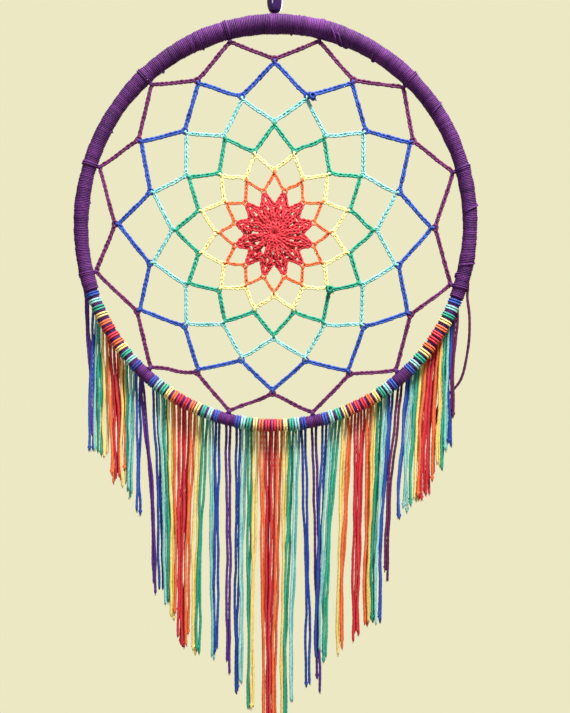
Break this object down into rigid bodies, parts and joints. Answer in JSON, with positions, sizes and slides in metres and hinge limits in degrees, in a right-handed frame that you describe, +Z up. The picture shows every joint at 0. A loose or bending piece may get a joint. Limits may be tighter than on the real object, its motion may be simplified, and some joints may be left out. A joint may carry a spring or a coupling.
{
  "type": "dream catcher",
  "caption": "Dream catcher: a yarn-wrapped ring filled with a crocheted zigzag web, a rainbow fringe of knotted tassel yarns, an oval bead and a hanging loop.",
  "frame": {"origin": "where the hanging loop rests on its nail, at the inside of the loop's top", "axes": "+Z up, -Y towards the viewer, +X to the viewer's right; the ring and its web lie in the XZ plane"},
  "size_m": [0.2554, 0.0165, 0.5415],
  "materials": {
    "ring_steel": "bare craft ring, hidden under the yarn",
    "yarn_purple": "matt twisted purple yarn",
    "yarn_plum": "matt dark plum yarn",
    "yarn_blue": "matt royal blue yarn",
    "yarn_aqua": "matt pale aqua yarn",
    "yarn_green": "matt emerald green yarn",
    "yarn_yellow": "matt pale yellow yarn",
    "yarn_orange": "matt orange yarn",
    "yarn_red": "matt red yarn",
    "bead_plastic": "glossy dark violet bead"
  },
  "bodies": {
    "hanger": {"hanging_loop": "yarn_purple", "loop_knot": "yarn_purple"},
    "hitch": {"ring_hitch": "yarn_purple"},
    "bead": {"bead": "bead_plastic"},
    "ring": {"ring_core": "ring_steel", "upper_wrap": "yarn_purple", "lower_wrap": "yarn_purple", "purple_round": "yarn_plum", "blue_round": "yarn_blue", "aqua_round": "yarn_aqua", "green_round": "yarn_green", "yellow_round": "yarn_yellow", "orange_round": "yarn_orange", "red_rosette": "yarn_red", "web_tie_01": "yarn_purple", "web_tie_02": "yarn_purple", "web_tie_03": "yarn_purple", "web_tie_04": "yarn_purple", "web_tie_05": "yarn_purple", "web_tie_06": "yarn_purple", "web_tie_07": "yarn_purple", "web_tie_08": "yarn_purple", "web_tie_09": "yarn_purple", "web_tie_10": "yarn_purple", "web_tie_11": "yarn_purple", "web_tie_12": "yarn_purple", "blue_tie_off": "yarn_blue", "green_tie_off": "yarn_green", "tassel_knots_far_left": "yarn_plum", "tassel_knots_left": "yarn_plum", "tassel_knots_centre": "yarn_plum", "tassel_knots_right": "yarn_plum", "tassel_knots_far_right": "yarn_plum"},
    "fringe_far_left": {"strands_far_left_cool_outer": "yarn_blue", "strands_far_left_warm_left": "yarn_orange", "strands_far_left_warm_right": "yarn_red", "strands_far_left_cool_inner": "yarn_green", "strands_purple_1": "yarn_purple"},
    "fringe_left": {"strands_left_cool_outer": "yarn_blue", "strands_left_warm_left": "yarn_orange", "strands_left_warm_right": "yarn_red", "strands_left_cool_inner": "yarn_green", "strands_purple_2": "yarn_purple"},
    "fringe_centre": {"strands_centre_cool_outer": "yarn_blue", "strands_centre_warm_left": "yarn_orange", "strands_centre_warm_right": "yarn_red", "strands_centre_cool_inner": "yarn_green", "strands_purple_3": "yarn_purple", "strands_purple_4": "yarn_purple"},
    "fringe_right": {"strands_right_cool_outer": "yarn_blue", "strands_right_warm_left": "yarn_orange", "strands_right_warm_right": "yarn_red", "strands_right_cool_inner": "yarn_green", "strands_purple_5": "yarn_purple"},
    "fringe_far_right": {"strands_far_right_cool_outer": "yarn_blue", "strands_far_right_warm_left": "yarn_orange", "strands_far_right_warm_right": "yarn_red", "strands_far_right_cool_inner": "yarn_green", "strands_purple_6": "yarn_purple", "strand_purple_loose": "yarn_plum"}
  },
  "joints": [
    {"name": "cord_turn", "type": "hinge", "parent": "hanger", "child": "hitch", "pos_m": [0, 0, -0.067], "axis": [0, 0, 1], "range_deg": [-180, 180]},
    {"name": "bead_lift", "type": "slide", "parent": "hitch", "child": "bead", "axis": [0, 0, 1], "range_m": [0, 0.002]},
    {"name": "ring_swing", "type": "hinge", "parent": "hitch", "child": "ring", "pos_m": [0, 0, -0.09035], "axis": [1, 0, 0], "range_deg": [-25, 25]},
    {"name": "sway_far_left", "type": "hinge", "parent": "ring", "child": "fringe_far_left", "pos_m": [-0.1025, 0.0059, -0.28362], "axis": [0.5244, 0, -0.8515], "range_deg": [-15, 15]},
    {"name": "sway_left", "type": "hinge", "parent": "ring", "child": "fringe_left", "pos_m": [-0.05714, 0.0059, -0.32738], "axis": [0.8774, 0, -0.4798], "range_deg": [-15, 15]},
    {"name": "sway_centre", "type": "hinge", "parent": "ring", "child": "fringe_centre", "pos_m": [-0.00213, 0.0059, -0.34223], "axis": [0.9998, 0, -0.0179], "range_deg": [-15, 15]},
    {"name": "sway_right", "type": "hinge", "parent": "ring", "child": "fringe_right", "pos_m": [0.05426, 0.0059, -0.32878], "axis": [0.8898, 0, 0.4563], "range_deg": [-15, 15]},
    {"name": "sway_far_right", "type": "hinge", "parent": "ring", "child": "fringe_far_right", "pos_m": [0.10067, 0.0059, -0.28682], "axis": [0.5491, 0, 0.8357], "range_deg": [-15, 15]}
  ]
}
